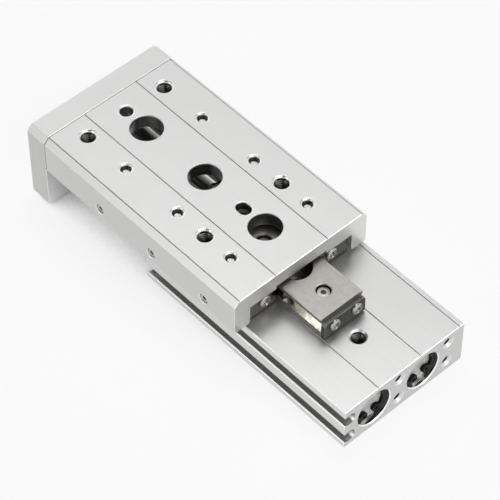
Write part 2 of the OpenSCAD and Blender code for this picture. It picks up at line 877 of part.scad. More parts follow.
module end_plate_bolts() {
    color("dimgray") on_table() at_plate_bolts()
        translate([-plate_t + M25[2] + head_sunk, 0, 0])
            rotate([0, -90, 0]) cap_screw(M25, plate_t - M25[2] - head_sunk + plate_tap - screw_spare);
}

module rod_end_screws() {
    x_seat = x_plate - plate_t + M4[2] + head_sunk;
    color("dimgray") on_table() for (side = SIDES)
        translate([x_seat, side * bore_y, bore_z])
            rotate([0, -90, 0]) cap_screw(M4, x_plate - rod_seat + rod_tap - screw_spare - x_seat);
}

// ---- assembly ------------------------------------------------------------

body_housing();
guide_block();
guide_block_screws();
rear_roller_stop();
front_roller_stop();
roller_stop_screws();
left_head_cap();
right_head_cap();
head_cap_o_rings();
head_retaining_rings();
head_bumpers();
left_rod_guide();
right_rod_guide();
rod_guide_o_rings();
rod_seals();
rod_retaining_rings();
rod_bumpers();
slide_table();
end_plate();
end_plate_bolts();
left_rail();
right_rail();
rail_screws();
preload_screws();
rail_end_screws();
left_piston_rod();
right_piston_rod();
left_piston();
right_piston();
piston_nuts();
piston_seals();
piston_magnets();
rod_end_screws();
left_rollers();
left_roller_spacers();
right_rollers();
right_roller_spacers();
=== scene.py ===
"""Looks of the pneumatic slide table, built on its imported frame. Metres, +Z up."""

import json
import math

import bmesh
import bpy
from mathutils import Matrix, Vector


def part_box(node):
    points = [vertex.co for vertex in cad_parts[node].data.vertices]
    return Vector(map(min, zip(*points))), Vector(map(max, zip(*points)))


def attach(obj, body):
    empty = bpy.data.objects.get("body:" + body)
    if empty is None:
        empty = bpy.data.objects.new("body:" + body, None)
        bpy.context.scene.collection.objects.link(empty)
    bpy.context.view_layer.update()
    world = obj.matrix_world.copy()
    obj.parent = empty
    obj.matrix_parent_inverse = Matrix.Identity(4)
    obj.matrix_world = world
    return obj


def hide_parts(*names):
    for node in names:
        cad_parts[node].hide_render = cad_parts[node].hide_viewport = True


bl_info = {
    "name": "Slide Table Looks",
    "version": (1, 0, 0),
    "blender": (4, 5, 0),
    "location": "View3D > Sidebar > Slide Table",
    "description": "Finishes, screws, threads and a plain stage for a pneumatic slide table",
    "category": "Object",
}

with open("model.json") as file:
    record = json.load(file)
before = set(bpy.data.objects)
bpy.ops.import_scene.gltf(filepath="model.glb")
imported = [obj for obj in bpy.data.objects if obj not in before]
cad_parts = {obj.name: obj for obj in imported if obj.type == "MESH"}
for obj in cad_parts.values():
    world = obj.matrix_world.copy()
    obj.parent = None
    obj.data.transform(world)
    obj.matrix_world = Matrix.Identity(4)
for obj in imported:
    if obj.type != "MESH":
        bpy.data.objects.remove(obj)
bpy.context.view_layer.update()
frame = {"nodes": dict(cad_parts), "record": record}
MM = 0.001
CORNER = Vector((1, 1, 1))
MOUNTS = {entry["name"]: entry for entry in frame["record"]["mounts"]}


# ---- places taken from the frame ----


def lowest(node):
    return Vector(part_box(node)[0])


def highest(node):
    return Vector(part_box(node)[1])


def middle(node):
    return (lowest(node) + highest(node)) / 2


def pattern_points(name):
    """Centres of the holes of a two-row pattern, in the plane of its position."""
    entry = MOUNTS[name]
    centre = Vector(entry["pos_m"])
    dims = entry["dims"]
    axis = Vector(entry["axis"])
    first = Vector((1, 0, 0)) if abs(axis.x) < 0.5 else Vector((0, 1, 0))
    second = axis.cross(first)
    half_x = dims["spacing_x_mm"] * MM / 2
    half_y = dims.get("spacing_y_mm", 0) * MM / 2
    rows = (-1, 1) if half_y else (0,)
    return [centre + i * half_x * first + j * half_y * second for i in (-1, 1) for j in rows]


def solids(node):
    """Low and high corners of each separate solid of a node, sorted by place."""
    shape = bmesh.new()
    shape.from_mesh(frame["nodes"][node].data)
    bmesh.ops.remove_doubles(shape, verts=shape.verts, dist=1e-6)
    left = set(shape.verts)
    boxes = []
    while left:
        reached = [left.pop()]
        points = []
        while reached:
            corner = reached.pop()
            points.append(corner.co.copy())
            for edge in corner.link_edges:
                other = edge.other_vert(corner)
                if other in left:
                    left.remove(other)
                    reached.append(other)
        boxes.append(tuple(
            Vector([pick(p[i] for p in points) for i in range(3)]) for pick in (min, max)
        ))
    shape.free()
    return sorted(boxes, key=lambda box: [round(v, 5) for v in box[0]])


def centres(node):
    return [(low + high) / 2 for low, high in solids(node)]


# ---- settings ----


def length_setting(name, description, default, least, most):
    return bpy.props.FloatProperty(
        name=name, description=description, default=default, min=least, max=most,
        precision=5, subtype="DISTANCE", unit="LENGTH",
    )


def number_setting(name, description, default, least, most, subtype="NONE"):
    return bpy.props.FloatProperty(
        name=name, description=description, default=default, min=least, max=most,
        subtype=subtype,
    )


def colour_setting(name, description, default):
    return bpy.props.FloatVectorProperty(
        name=name, description=description, default=default, size=3, min=0, max=1,
        subtype="COLOR",
    )


def power_setting(name, description, default):
    return bpy.props.FloatProperty(
        name=name, description=description, default=default, min=0,
        subtype="POWER", unit="POWER",
    )


class SlideTableSizes(bpy.types.PropertyGroup):
    edge_round: length_setting(
        "Edge Rounding", "Width of the small rounding on every machined edge",
        0.00012, 0.00002, 0.0003,
    )
    thread_height: length_setting(
        "Thread Height", "How far the thread ridges stand out of a hole's wall",
        0.00026, 0.0001, 0.0004,
    )
    screw_dome: number_setting(
        "Screw Dome", "Part of a pan head's height that is domed", 0.55, 0.2, 0.8, "FACTOR")


class SlideTableFinishes(bpy.types.PropertyGroup):
    table_colour: colour_setting(
        "Table Aluminium", "Clear anodised, fine-blasted aluminium of the table and end plate",
        (0.79, 0.79, 0.785),
    )
    body_colour: colour_setting(
        "Body Aluminium", "Clear anodised, extruded aluminium of the body",
        (0.77, 0.77, 0.765),
    )
    guide_colour: colour_setting(
        "Guide Steel", "Ground steel of the guide block", (0.50, 0.49, 0.465),
    )
    # painted shade: the plating is set darker than nickel, as the screws at the rail ends lie
    # in shade
    plated_shaded_colour: colour_setting(
        "Plated Screws", "Nickel plating of the cross-recess screws", (0.42, 0.415, 0.395),
    )
    ring_colour: colour_setting(
        "Retaining Rings", "Black phosphate on the spring steel rings", (0.012, 0.012, 0.012),
    )


class SlideTableStage(bpy.types.PropertyGroup):
    floor_colour: colour_setting("Floor", "Colour of the floor", (0.90, 0.90, 0.90))
    floor_glow: number_setting(
        "Floor White", "White that the camera and reflections see on the open floor",
        0.845, 0, 1)
    key_power: power_setting("Key Lamp", "Power of the large lamp above the front end", 1.0)
    top_power: power_setting("Overhead Lamp", "Power of the small lamp overhead", 1.76)
    front_power: power_setting(
        "Front Lamp", "Power of the lamp in front of the end plate", 0.95)
    rear_power: power_setting("Rear Lamp", "Power of the lamp behind the head end", 3.2)
    left_power: power_setting("Left Lamp", "Power of the lamp on the left", 0.55)
    camera_power: power_setting(
        "Camera Lamp",
        "Power of the small lamp on the camera's side, which lights the hole rims", 0.35)
    rim_power: power_setting(
        "Rim Lamp", "Power of the small lamp that the rear edges mirror", 0.5)
    sky_strength: number_setting(
        "Surroundings", "Strength of the light from the plain surroundings", 0.02, 0, 1)
    lens: number_setting(
        "Lens", "Focal length of the camera, in millimetres", 175.27, 20, 400)


# ---- shader node groups ----


def feed(tree, socket, value):
    """Links a socket to a value's source, or sets its plain value."""
    if isinstance(value, bpy.types.NodeSocket):
        tree.links.new(value, socket)
    else:
        socket.default_value = value


def add_node(tree, kind, *values, at=None, **named):
    """Adds a node: attributes and inputs by name, then inputs in order."""
    made = tree.nodes.new(kind)
    made.location = at or (180 * len(tree.nodes) - 1500, 0)
    for key, value in named.items():
        if hasattr(made, key):
            setattr(made, key, value)
        else:
            feed(tree, made.inputs[key.replace("_", " ")], value)
    for socket, value in zip(made.inputs, values):
        feed(tree, socket, value)
    return made


def math_node(tree, operation, *values, at=None, clamp=False):
    made = add_node(tree, "ShaderNodeMath", *values, at=at, operation=operation,
                    use_clamp=clamp)
    return made.outputs[0]


def vector_node(tree, operation, *values):
    """A vector operation: its vector, or its value where it gives one."""
    made = add_node(tree, "ShaderNodeVectorMath", *values, operation=operation)
    return made.outputs["Value" if operation in ("LENGTH", "DOT_PRODUCT") else "Vector"]


def map_range(tree, value, low, high, to_low=0.0, to_high=1.0, at=None):
    made = add_node(tree, "ShaderNodeMapRange", at=at, Value=value, From_Min=low,
                    From_Max=high, To_Min=to_low, To_Max=to_high)
    return made.outputs["Result"]


def new_group(name, outputs, **inputs):
    """Starts a group that takes a Vector, and inputs by name with their defaults."""
    group = bpy.data.node_groups.new(name, "ShaderNodeTree")

    def socket(label, way, kind):
        return group.interface.new_socket(
            name=label.replace("_", " "), in_out=way, socket_type="NodeSocket" + kind)

    socket("Vector", "INPUT", "Vector")
    for label, default in inputs.items():
        kind = "Vector" if isinstance(default, tuple) else "Float"
        socket(label, "INPUT", kind).default_value = default
    for label in outputs:
        socket(label, "OUTPUT", "Float")
    start = add_node(group, "NodeGroupInput")
    end = add_node(group, "NodeGroupOutput", at=(1300, 0))
    return group, start.outputs, end.inputs


def swing(tree, texture, contrast):
    """A texture's value as a swing round 0, as wide as its contrast."""
    away = math_node(tree, "SUBTRACT", texture.outputs["Fac"], 0.5)
    return math_node(tree, "MULTIPLY", away, contrast)


def put_out_texture(tree, out, swings, texture):
    """Puts out a tone round 1, and the texture's own value as a height."""
    feed(tree, out["Tone"], math_node(tree, "ADD", swings, 1.0))
    feed(tree, out["Height"], texture.outputs["Fac"])


def blasted_grain_group():
    """Fine blasted grain with soft clouds: a tone round 1, and a height."""
    group, given, out = new_group("Blasted Grain", ("Tone", "Height"), Grain_Size=0.0002,
                                  Grain_Contrast=0.04, Cloud_Size=0.02, Cloud_Contrast=0.03)
    layers = []
    for name, detail, roughness in (("Grain", 2.0, 0.6), ("Cloud", 3.0, 0.5)):
        scale = math_node(group, "DIVIDE", 1.0, given[name + " Size"])
        layer = add_node(group, "ShaderNodeTexNoise", Vector=given["Vector"],
                         Scale=scale, Detail=detail, Roughness=roughness)
        layers.append((layer, swing(group, layer, given[name + " Contrast"])))
    (grain, fine), (_, soft) = layers
    put_out_texture(group, out, math_node(group, "ADD", fine, soft), grain)
    return group


def tool_lines_group():
    """Fine parallel marks along one axis, as left by a grinder or a die."""
    group, given, out = new_group("Tool Lines", ("Tone", "Height"),
                                  Stretch=(20.0, 4000.0, 4000.0), Contrast=0.1)
    scaled = vector_node(group, "MULTIPLY", given["Vector"], given["Stretch"])
    marks = add_node(group, "ShaderNodeTexNoise", Vector=scaled, Scale=1.0,
                     Detail=4.0, Roughness=0.65)
    put_out_texture(group, out, swing(group, marks, given["Contrast"]), marks)
    return group


def turned_rings_group():
    """Concentric marks of a lathe tool round the X axis of the given vector."""
    group, given, out = new_group("Turned Rings", ("Tone", "Height"),
                                  Ring_Pitch=0.0003, Contrast=0.1)
    flat = vector_node(group, "MULTIPLY", given["Vector"], (0, 1, 1))
    radius = vector_node(group, "LENGTH", flat)
    turns = math_node(group, "DIVIDE", radius, given["Ring Pitch"])
    marks = add_node(group, "ShaderNodeTexNoise", noise_dimensions="1D", W=turns,
                     Scale=1.0, Detail=3.0)
    put_out_texture(group, out, swing(group, marks, given["Contrast"]), marks)
    return group


def edge_catch_group():
    """Mask of the sharp edges, where a finish is rubbed bright and a highlight is painted,
    broken up a little.
    """
    group, given, out = new_group("Edge Catch", ("Mask",), Width=0.00025, Breakup=0.4)
    soft = add_node(group, "ShaderNodeBevel", samples=6, Radius=given["Width"])
    flat = add_node(group, "ShaderNodeNewGeometry")
    same = vector_node(group, "DOT_PRODUCT", soft.outputs["Normal"],
                       flat.outputs["True Normal"])
    bent = map_range(group, same, 0.995, 0.86)
    patches = add_node(group, "ShaderNodeTexNoise", Vector=given["Vector"],
                       Scale=900.0, Detail=2.0)
    gaps = math_node(group, "MULTIPLY", patches.outputs["Fac"], given["Breakup"])
    keep = math_node(group, "SUBTRACT", 1.0, gaps)
    feed(group, out["Mask"], math_node(group, "MULTIPLY", bent, keep, clamp=True))
    return group


def box_mask_group():
    """Mask of what lies inside a box, which fades over a short way in from its faces."""
    group, given, out = new_group("Box Mask", ("Mask",), Centre=(0, 0, 0),
                                  Half_Size=(0.01, 0.01, 0.01), Fade=0.0004)
    away = vector_node(group, "SUBTRACT", given["Vector"], given["Centre"])
    size = vector_node(group, "ABSOLUTE", away)
    room = vector_node(group, "SUBTRACT", given["Half Size"], size)
    parts = add_node(group, "ShaderNodeSeparateXYZ", room).outputs
    least = math_node(group, "MINIMUM", parts[0], parts[1])
    least = math_node(group, "MINIMUM", least, parts[2])
    feed(group, out["Mask"], math_node(group, "DIVIDE", least, given["Fade"], clamp=True))
    return group


def hole_circles_group():
    """Mask of the discs round one to four holes that stand evenly about a centre."""
    group, given, out = new_group("Hole Circles", ("Mask",), Centre=(0, 0, 0),
                                  Spread=(0.01, 0.01, 0), Plane=(1, 1, 0), Radius=0.003)
    away = vector_node(group, "SUBTRACT", given["Vector"], given["Centre"])
    away = vector_node(group, "ABSOLUTE", away)
    away = vector_node(group, "SUBTRACT", away, given["Spread"])
    away = vector_node(group, "MULTIPLY", away, given["Plane"])
    far = vector_node(group, "LENGTH", away)
    feed(group, out["Mask"], math_node(group, "LESS_THAN", far, given["Radius"]))
    return group


GROUP_MAKERS = {
    "Box Mask": box_mask_group,
    "Hole Circles": hole_circles_group,
    "Blasted Grain": blasted_grain_group,
    "Tool Lines": tool_lines_group,
    "Turned Rings": turned_rings_group,
    "Edge Catch": edge_catch_group,
}


def shared_group(name):
    return bpy.data.node_groups.get(name) or GROUP_MAKERS[name]()


# ---- materials ----

# polished chamfers, their colour lightened as a painted highlight
POLISHED_EDGE_HIGHLIGHT = ((0.86, 0.86, 0.85), 1.0, 0.2)
# hole mouths: polished, with their colour lightened as a painted highlight
POLISHED_MOUTH_HIGHLIGHT = ((0.95, 0.95, 0.94), 1.0, 0.22)
EDGE_ROUGHNESS = 0.2
RUBBED_EDGES_AND_HIGHLIGHTS = {"edge": 0.9, "edge_width": 0.0003, "edge_metallic": 1.0}
FINE_BLAST = (0.000012, 0.00022, 0.10, 0.018, 0.05)
END_CHAMFER = 0.14 * MM      # seen width of the chamfer round an end face


class Finish:
    """A material on Object coordinates, put together from the shared groups."""

    def __init__(self, name, colour, metallic, roughness, **sockets):
        self.material = bpy.data.materials.new(name)
        self.material.use_nodes = True
        self.material.diffuse_color = (*colour, 1)
        self.tree = self.material.node_tree
        self.tree.nodes.clear()
        self.row = 0
        self.shader = self.node("ShaderNodeBsdfPrincipled", 600, **sockets)
        self.node("ShaderNodeOutputMaterial", 900, self.shader.outputs[0])
        self.coords = self.node("ShaderNodeTexCoord", -1300).outputs["Object"]
        self.colour = colour
        self.metallic = metallic
        self.roughness = roughness
        self.zones = []
        self.seam_shade = None
        self.tones = []
        rounding = self.node("ShaderNodeBevel", -900, samples=6,
                             Radius=bpy.context.scene.slide_table_sizes.edge_round)
        self.rounding = rounding.inputs["Radius"]
        self.normal = rounding.outputs["Normal"]

    def place(self, column):
        self.row -= 260
        return (column, self.row)

    def node(self, kind, column, *values, **named):
        return add_node(self.tree, kind, *values, at=self.place(column), **named)

    def math(self, operation, *values, clamp=False):
        return math_node(self.tree, operation, *values, at=self.place(-500), clamp=clamp)

    def group(self, name, vector=None, **inputs):
        return self.node("ShaderNodeGroup", -800, label=name, node_tree=shared_group(name),
                         Vector=vector or self.coords, **inputs).outputs

    def texture(self, name, depth, vector=None, mask=None, **inputs):
        """Adds a group's tone to the colour and its height to the bump."""
        made = self.group(name, vector, **inputs)
        tone, height = made["Tone"], made["Height"]
        if mask is not None:
            tone = self.between(mask, 1.0, tone)
            height = self.math("MULTIPLY", height, mask)
        self.tones.append(tone)
        bump = self.node("ShaderNodeBump", -400, Strength=1.0, Distance=depth,
                         Height=height, Normal=self.normal)
        self.normal = bump.outputs["Normal"]

    def grain(self, depth, size, contrast, cloud_size, cloud_contrast, mask=None):
        self.texture("Blasted Grain", depth, mask=mask, Grain_Size=size,
                     Grain_Contrast=contrast, Cloud_Size=cloud_size,
                     Cloud_Contrast=cloud_contrast)

    def tool_lines(self, depth, stretch, contrast, mask=None):
        self.texture("Tool Lines", depth, mask=mask, Stretch=stretch, Contrast=contrast)

    def turned_rings(self, centre):
        """Marks of a lathe tool round the X axis through a point."""
        moved = self.node("ShaderNodeMapping", -1100, Vector=self.coords, Location=-centre)
        self.texture("Turned Rings", 0.00001, vector=moved.outputs[0], Ring_Pitch=0.0002,
                     Contrast=0.18)

    def between(self, mask, first, second):
        """The first value where the mask is 0, the second where it is 1."""
        made = self.node("ShaderNodeMix", -300, mask, data_type="FLOAT")
        feed(self.tree, made.inputs[2], first)
        feed(self.tree, made.inputs[3], second)
        return made.outputs[0]

    def colour_between(self, mask, first, second):
        made = self.node("ShaderNodeMix", -100, mask, data_type="RGBA")
        feed(self.tree, made.inputs[6], first)
        feed(self.tree, made.inputs[7], (*second, 1))
        return made.outputs[2]

    def either(self, first, second):
        return self.math("MAXIMUM", first, second)

    def except_for(self, mask, other):
        return self.math("SUBTRACT", mask, other, clamp=True)

    def facing(self, axis, low=0.6, high=0.9):
        """Mask of the faces whose normal runs along an axis, either way."""
        normal = self.node("ShaderNodeNewGeometry", -1300)
        parts = self.node("ShaderNodeSeparateXYZ", -1100, normal.outputs["True Normal"])
        size = self.math("ABSOLUTE", parts.outputs["XYZ".index(axis)])
        return map_range(self.tree, size, low, high, at=self.place(-800))

    def box(self, low, high, fade=0.0004):
        """Mask of a box given by its corners."""
        low, high = Vector(low), Vector(high)
        return self.group("Box Mask", Centre=(low + high) / 2, Half_Size=(high - low) / 2,
                          Fade=fade)["Mask"]

    def zone(self, mask, colour, metallic, roughness):
        """Gives the masked part a finish of its own, or a colour that paints shade or a
        highlight on it.
        """
        self.zones.append((mask, colour, metallic, roughness))

    def soften_and_highlight_mouths(self, width, *patterns):
        """Widens and polishes the rounding of holes, and lightens it as a painted highlight in
        place of a countersink: centre, spread and radius of each.
        """
        total = None
        for centre, spread, radius in patterns:
            mask = self.group("Hole Circles", Centre=centre, Spread=spread, Plane=(1, 1, 0),
                              Radius=radius + width)["Mask"]
            total = self.either(total, mask) if total else mask
        feed(self.tree, self.rounding,
             self.between(total, self.rounding.default_value, width))
        self.zone(total, *POLISHED_MOUTH_HIGHLIGHT)

    def polish_and_highlight_ends(self, low, high, *inwards):
        """Polishes the chamfer round each end face, whose solid lies inward of it in X, and
        lightens its colour as a painted highlight.
        """
        for inward in inwards:
            x = low.x if inward > 0 else high.x
            ends = sorted((x - inward * END_CHAMFER, x + inward * END_CHAMFER))
            strip = self.box((ends[0], low.y - END_CHAMFER, low.z - END_CHAMFER),
                             (ends[1], high.y + END_CHAMFER, high.z + END_CHAMFER), 0.00003)
            chamfer = self.except_for(strip, self.facing("X", 0.85, 0.95))
            self.zone(chamfer, *POLISHED_EDGE_HIGHLIGHT)

    def finish(self, edge=None, edge_colour=(0.95, 0.95, 0.94), edge_width=0.0002,
               roughness_swing=0.1, edge_metallic=None):
        """Joins zones, tones and bright edges, and feeds the shader."""
        plain_colour = self.node("ShaderNodeRGB", -300)
        plain_colour.outputs[0].default_value = (*self.colour, 1)
        colour, metal, rough = plain_colour.outputs[0], self.metallic, self.roughness
        for mask, zone_colour, zone_metallic, zone_roughness in self.zones:
            colour = self.colour_between(mask, colour, zone_colour)
            rough = self.between(mask, rough, zone_roughness)
            metal = self.between(mask, metal, zone_metallic)
        for tone in self.tones:
            scaled = self.node("ShaderNodeVectorMath", 0, colour, operation="SCALE",
                               Scale=tone)
            colour = scaled.outputs[0]
        rough = self.math("MULTIPLY", self.tones[0], rough)
        spread = self.math("SUBTRACT", self.tones[-1], 1.0)
        spread = self.math("MULTIPLY", spread, roughness_swing * 10)
        rough = self.math("SUBTRACT", rough, spread, clamp=True)
        if edge:
            catch = self.group("Edge Catch", Width=edge_width)["Mask"]
            amount = self.math("MULTIPLY", catch, edge)
            # no painted edge highlight over the painted seam shade
            if self.seam_shade is not None:
                amount = self.except_for(amount, self.seam_shade)
            # bright edges: partly rubbed wear, partly a painted highlight
            colour = self.colour_between(amount, colour, edge_colour)
            if edge_metallic is not None:
                metal = self.between(amount, metal, edge_metallic)
                rough = self.between(amount, rough, EDGE_ROUGHNESS)
        for name, value in (("Base Color", colour), ("Metallic", metal),
                            ("Roughness", rough), ("Normal", self.normal)):
            feed(self.tree, self.shader.inputs[name], value)
        return self.material


def dress(material, *nodes):
    for name in nodes:
        for slot in frame["nodes"][name].material_slots:
            slot.material = material


def finishes():
    return bpy.context.scene.slide_table_finishes


def dress_table():
    rim = 0.35 * MM              # what belongs to the outer faces
    centre_strip = 8 * MM        # half the strip with the large holes
    thread_top = 0.55 * MM       # where the painted shade of the threaded holes begins
    slot_depth = 0.3 * MM        # where the locating slot's finish begins
    low, high = lowest("slide_table"), highest("slide_table")
    inner_low, inner_high = low + rim * CORNER, high - rim * CORNER
    table = Finish("table_aluminium_fine", finishes().table_colour, 0.85, 0.4)
    # painted light and shade: the end faces get a lighter, and the sides a darker, copy of the
    # aluminium, for how the light falls on them
    table.zone(table.facing("X"), (0.84, 0.84, 0.83), 0.65, 0.34)
    table.zone(table.facing("Y"), (0.66, 0.66, 0.645), 0.85, 0.4)
    screws = centres("rail_screws")
    screw_x = [at.x for at in screws]
    screws_middle = (min(screw_x) + max(screw_x)) / 2
    work = MOUNTS["table_mounting_holes"]["dims"]
    work_reach = Vector((work["spacing_x_mm"], work["spacing_y_mm"], 0)) * MM / 2
    locating = Vector(MOUNTS["table_locating_hole"]["pos_m"])
    slot = locating + Vector((work["spacing_x_mm"] * MM, 0, 0))
    m5, m3, dowel = 2.1 * MM, 1.55 * MM, 2 * MM
    # painted highlight: bright rings round the hole mouths
    table.soften_and_highlight_mouths(
        0.7 * MM,
        (sum(pattern_points("table_mounting_holes"), Vector()) / 4, work_reach, m5),
        ((screws_middle, 0, 0), (0, screws[-1].y, 0), m3),
        (locating, (0, 0, 0), dowel),
        (slot, (0.5 * MM, 0, 0), dowel),
        ((screws_middle, 0, 0), (max(screw_x) - screws_middle, screws[-1].y, 0), m3),
    )
    # painted shade: the walls of the threaded holes are coloured near black, as shade falls in
    # them
    tapped_shade = table.box((inner_low.x, low.y + centre_strip, inner_low.z),
                       (inner_high.x, high.y - centre_strip, high.z - thread_top))
    table.zone(tapped_shade, (0.07, 0.07, 0.068), 0.9, 0.35)
    # painted shade: the walls of the large holes are coloured dark, as shade falls in them
    bored_shade = table.box((inner_low.x, -centre_strip, inner_low.z),
                      (inner_high.x, centre_strip, inner_high.z))
    table.zone(bored_shade, (0.16, 0.16, 0.157), 0.9, 0.3)
    slot_reach = Vector((2.8, 2.3, 0)) * MM
    in_slot = table.box(slot - slot_reach - Vector((0, 0, high.z - low.z)),
                        slot + slot_reach - Vector((0, 0, slot_depth)), 0.0002)
    table.zone(in_slot, (0.7, 0.7, 0.69), 0.3, 0.35)
    table.polish_and_highlight_ends(low, high, -1)
    # painted shade: a dark strip along the table's front edge, where it meets the end plate,
    # stands in for the shadow in the seam
    table.seam_shade = table.box(low - rim * CORNER, (low.x + rim, high.y + rim, high.z + rim),
                           0.00005)
    table.zone(table.seam_shade, (0.16, 0.16, 0.158), 0.85, 0.45)
    table.grain(*FINE_BLAST)
    table.tool_lines(0.000012, (4000, 30, 4200), 0.25, table.facing("X"))
    table.tool_lines(0.00001, (60, 60, 5200), 0.9, bored_shade)
    dress(table.finish(**RUBBED_EDGES_AND_HIGHLIGHTS), "slide_table")


def dress_end_plate():
    plate = Finish("end_plate_aluminium", finishes().table_colour, 0.85, 0.4)
    # painted shade: the sides get a darker copy of the aluminium, for how the light falls on
    # them
    sides = plate.facing("Y")
    plate.zone(sides, (0.60, 0.60, 0.585), 0.85, 0.4)
    plate.polish_and_highlight_ends(lowest("end_plate"), highest("end_plate"), 1, -1)
    plate.grain(*FINE_BLAST)
    plate.tool_lines(0.00001, (3800, 60, 30), 0.2, sides)
    dress(plate.finish(**RUBBED_EDGES_AND_HIGHLIGHTS), "end_plate")


def dress_body():
    rim = 0.35 * MM
    groove = 4.9 * MM            # how far in from the left side the switch grooves reach
    sink = 0.75 * MM             # what belongs to the outer faces
    low, high = lowest("body_housing"), highest("body_housing")
    inner_low, inner_high = low + sink * CORNER, high - sink * CORNER
    body = Finish("body_aluminium_extruded", finishes().body_colour, 0.88, 0.34)
    # painted light and shade: the end faces and the sides get darker copies of the aluminium,
    # for how the light falls on them
    body.zone(body.facing("X"), (0.68, 0.68, 0.675), 0.65, 0.36)
    body.zone(body.facing("Y"), (0.72, 0.72, 0.715), 0.88, 0.34)
    body.polish_and_highlight_ends(low, high, 1, -1)
    # painted shade: the walls of the holes, and below them the insides of the switch grooves,
    # are coloured darker, as shade falls in them
    body.zone(body.box((inner_low.x, low.y + groove, inner_low.z), inner_high, 0.0002),
              (0.12, 0.12, 0.118), 0.9, 0.3)
    body.zone(body.box(inner_low, (inner_high.x, low.y + groove, inner_high.z), 0.0006),
              (0.42, 0.42, 0.413), 0.9, 0.4)
    mouths = []
    for cap in ("left_head_cap", "right_head_cap"):
        cap_low, cap_high = lowest(cap), highest(cap)
        mouths.append(body.box((cap_low.x, cap_low.y - rim, cap_low.z - rim),
                               (high.x, cap_high.y + rim, cap_high.z + rim), 0.0002))
    body.zone(body.either(*mouths), (0.97, 0.97, 0.96), 1.0, 0.1)
    body.grain(0.000006, 0.00022, 0.07, 0.02, 0.04)
    body.tool_lines(0.000006, (12, 3000, 3000), 0.08)
    dress(body.finish(**RUBBED_EDGES_AND_HIGHLIGHTS), "body_housing")


class OBJECT_OT_slide_table_aluminium(bpy.types.Operator):
    """Gives the table, the end plate, the body, the caps and the pistons their aluminium"""

    bl_idname = "object.slide_table_aluminium"
    bl_label = "Aluminium Finishes"

    def execute(self, context):
        dress_table()
        dress_end_plate()
        dress_body()
        for side in ("left", "right"):
            for node, name, colour, metallic, edge in (
                ("_head_cap", "_cap_turned", (0.95, 0.95, 0.935), 0.0, 0.7),
                ("_piston", "_piston_turned", (0.78, 0.78, 0.76), 0.7, 0.6),
                ("_rod_guide", "_rod_guide_turned", (0.72, 0.68, 0.58), 0.7, 0.6),
            ):
                turned = Finish(side + name, colour, metallic, 0.3)
                turned.turned_rings(middle(side + node))
                dress(turned.finish(edge=edge), side + node)
        return {"FINISHED"}


class OBJECT_OT_slide_table_steel(bpy.types.Operator):
    """Gives the guide, the stop plates, the rods, the rollers and the rings their steel"""

    bl_idname = "object.slide_table_steel"
    bl_label = "Steel Finishes"

    def execute(self, context):
        rim = 0.3 * MM               # what belongs to the outer faces
        track = 1.6 * MM             # depth of the V tracks and height of their lips
        low, high = lowest("guide_block"), highest("guide_block")
        guide = Finish("guide_steel_ground", finishes().guide_colour, 0.9, 0.34)
        # painted shade: the walls of the guide block's holes are coloured near black, as shade
        # falls in them
        guide.zone(guide.box((low.x + rim, low.y + track, low.z),
                             (high.x - rim, high.y - track, high.z - rim)),
                   (0.16, 0.155, 0.15), 0.9, 0.3)
        tracks = guide.either(
            guide.box((low.x, low.y - rim, low.z + track),
                      (high.x, low.y + track, high.z - track)),
            guide.box((low.x, high.y - track, low.z + track),
                      (high.x, high.y + rim, high.z - track)),
        )
        guide.zone(tracks, (0.52, 0.49, 0.42), 1.0, 0.18)
        guide.tool_lines(0.000006, (25, 5000, 5000), 0.28)
        guide.grain(0.000006, 0.0004, 0.3, 0.0016, 0.3)
        guide.grain(0.000004, 0.0012, 0.5, 0.006, 0.9, tracks)
        dress(guide.finish(edge=0.6, edge_colour=(0.85, 0.84, 0.81), edge_width=0.00015),
              "guide_block")

        # painted shade: the rails' steel is coloured dark, as they lie in the shade under the
        # table
        rail = Finish("rail_steel_ground_shaded", (0.2, 0.195, 0.185), 0.9, 0.3)
        rail.tool_lines(0.000006, (25, 5000, 5000), 0.22)
        rail.grain(0.000004, 0.0004, 0.08, 0.004, 0.2)
        dress(rail.finish(edge=0.6, edge_width=0.00015), "left_rail", "right_rail")

        plate = Finish("stop_plate_rolled", (0.13, 0.128, 0.121), 0.9, 0.36)
        plate.tool_lines(0.000006, (3000, 30, 3000), 0.25)
        plate.grain(0.000006, 0.0003, 0.12, 0.004, 0.3)
        dress(plate.finish(edge=0.7, edge_width=0.00015),
              "rear_roller_stop", "front_roller_stop")

        # painted shade: the chrome rods are coloured dark, as they lie in shade under the
        # table
        rod = Finish("rod_hard_chrome_shaded", (0.2, 0.2, 0.196), 1.0, 0.28)
        rod.tool_lines(0.000001, (4000, 60, 60), 0.05)
        dress(rod.finish(edge=0.4, roughness_swing=0.05),
              "left_piston_rod", "right_piston_rod")

        roller = Finish("roller_polished", (0.75, 0.74, 0.72), 1.0, 0.15)
        roller.grain(0.000001, 0.0003, 0.03, 0.002, 0.06)
        dress(roller.finish(edge=0.5, roughness_swing=0.05), "left_rollers", "right_rollers")

        ring = Finish("ring_black_phosphate", finishes().ring_colour, 0.0, 0.5,
                      Specular_IOR_Level=0.15)
        ring.grain(0.000006, 0.00015, 0.35, 0.003, 0.3)
        dress(ring.finish(edge=0.3, edge_colour=(0.12, 0.12, 0.12), edge_width=0.0001),
              "head_retaining_rings", "rod_retaining_rings")
        return {"FINISHED"}


